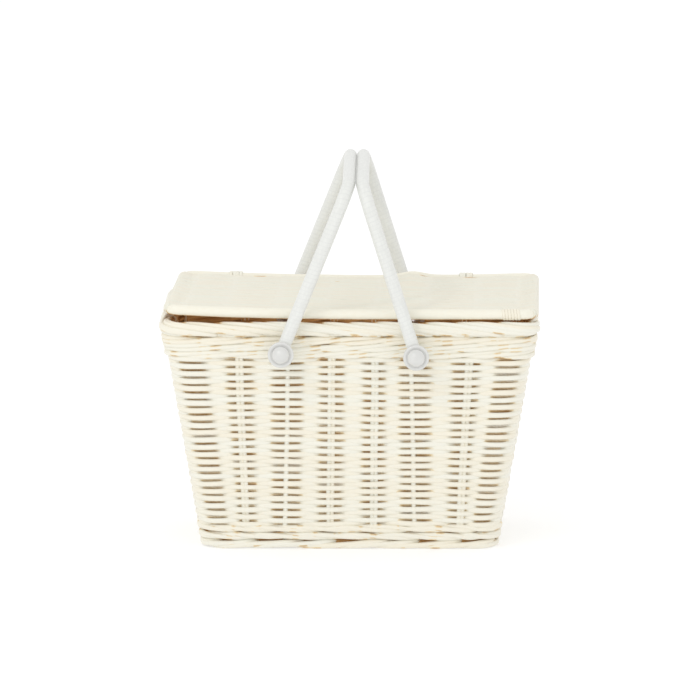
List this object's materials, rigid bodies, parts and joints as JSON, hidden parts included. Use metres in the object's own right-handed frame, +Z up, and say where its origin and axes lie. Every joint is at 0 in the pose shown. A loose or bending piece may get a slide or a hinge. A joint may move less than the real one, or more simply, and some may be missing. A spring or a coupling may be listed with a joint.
{
  "type": "wicker picnic basket",
  "caption": "Rectangular tapered wicker picnic basket with a flat woven lid hinged along the back and two swinging wrapped bail handles on domed pivots.",
  "frame": {"origin": "on the floor under the middle of the basket", "axes": "+Z up; +X along the basket's length, to the right seen from the front; the front faces -Y and the lid's hinge is at +Y"},
  "size_m": [0.38, 0.304, 0.3833],
  "materials": {
    "painted_weave": "satin cream paint on willow weave",
    "painted_lid": "satin cream paint on fine willow weave",
    "bare_willow": "natural willow, thinly painted outside",
    "cane_loop": "satin cream paint on cane",
    "handle_wrap": "satin white flat strip, wound",
    "handle_rod": "satin white paint",
    "bolt_steel": "zinc plated",
    "knob_plastic": "soft gloss",
    "spacer_plastic": "moulded"
  },
  "bodies": {
    "basket": {"base_sticks": "bare_willow", "base_weave": "painted_weave", "foot_border": "painted_weave", "bottom_wale": "painted_weave", "side_weave": "painted_weave", "top_wale": "painted_weave", "rim_border": "painted_weave", "corner_posts": "bare_willow", "front_stakes": "bare_willow", "back_stakes": "bare_willow", "left_stakes": "bare_willow", "right_stakes": "bare_willow", "left_lid_loop": "cane_loop", "right_lid_loop": "cane_loop", "front_left_bolt": "bolt_steel", "front_left_inner_washer": "bolt_steel", "front_left_spacer": "spacer_plastic", "front_left_flange_washer": "knob_plastic", "front_left_cap_nut": "knob_plastic", "front_right_bolt": "bolt_steel", "front_right_inner_washer": "bolt_steel", "front_right_spacer": "spacer_plastic", "front_right_flange_washer": "knob_plastic", "front_right_cap_nut": "knob_plastic", "back_left_bolt": "bolt_steel", "back_left_inner_washer": "bolt_steel", "back_left_spacer": "spacer_plastic", "back_left_flange_washer": "knob_plastic", "back_left_cap_nut": "knob_plastic", "back_right_bolt": "bolt_steel", "back_right_inner_washer": "bolt_steel", "back_right_spacer": "spacer_plastic", "back_right_flange_washer": "knob_plastic", "back_right_cap_nut": "knob_plastic"},
    "lid": {"lid_frame": "painted_lid", "lid_sticks": "bare_willow", "lid_weave": "painted_lid"},
    "left_handle": {"left_handle_core": "handle_rod", "left_handle_wrap": "handle_wrap"},
    "right_handle": {"right_handle_core": "handle_rod", "right_handle_wrap": "handle_wrap"}
  },
  "joints": [
    {"name": "left_handle", "type": "hinge", "parent": "basket", "child": "left_handle", "pos_m": [-0.068, 0, 0.2094], "axis": [0, -1, 0], "range_deg": [0, 166]},
    {"name": "right_handle", "type": "hinge", "parent": "basket", "child": "right_handle", "pos_m": [0.0666, 0, 0.2066], "axis": [0, 1, 0], "range_deg": [0, 161]},
    {"name": "lid_hinge", "type": "hinge", "parent": "basket", "child": "lid", "pos_m": [0, 0.112, 0.2463], "axis": [-1, 0, 0], "range_deg": [0, 30]}
  ]
}
